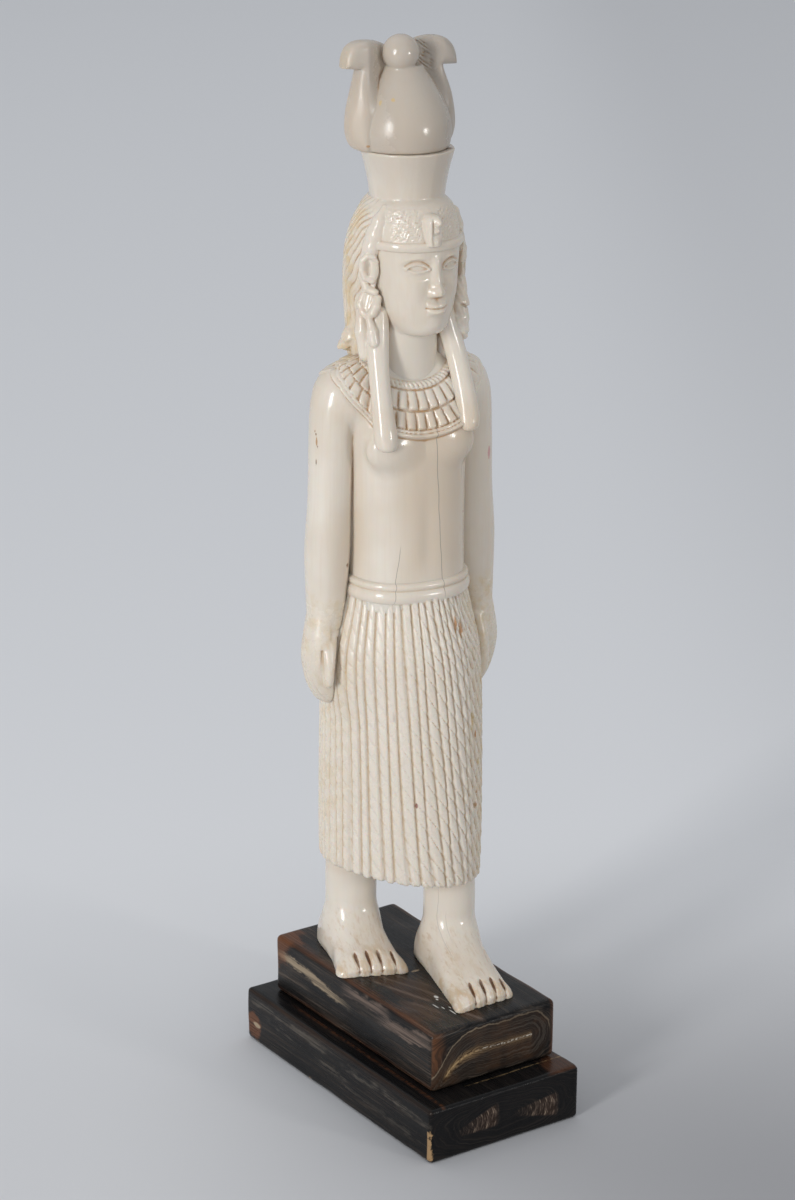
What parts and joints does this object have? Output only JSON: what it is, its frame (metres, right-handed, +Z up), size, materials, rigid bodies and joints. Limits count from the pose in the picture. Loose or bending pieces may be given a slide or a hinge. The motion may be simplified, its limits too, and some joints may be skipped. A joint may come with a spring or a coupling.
{
  "type": "statue of an egyptian queen",
  "caption": "Carved ivory-coloured queen striding in a pleated skirt, with broad collar, long lappets and a feather crown, on a stepped horn plinth.",
  "frame": {"origin": "middle of the underside of the lower plinth block", "axes": "+Z up along the figure; -Y towards the plinth's front end, which the figure strides to; +X to the figure's left"},
  "size_m": [0.0537, 0.0886, 0.2785],
  "materials": {
    "horn_lower": "dark horn, softly polished, with growth rings and pale streaks",
    "horn_upper": "dark horn, softly polished, with growth rings and pale streaks",
    "ivory_figure": "polished ivory or bone, with amber dirt in the grooves and fine age cracks",
    "ivory_crown": "polished ivory or bone, with brown dirt at the joints"
  },
  "bodies": {
    "root": {"plinth_lower_block": "horn_lower", "plinth_upper_block": "horn_upper", "queen_figure": "ivory_figure", "feather_crown": "ivory_crown"}
  },
  "joints": []
}
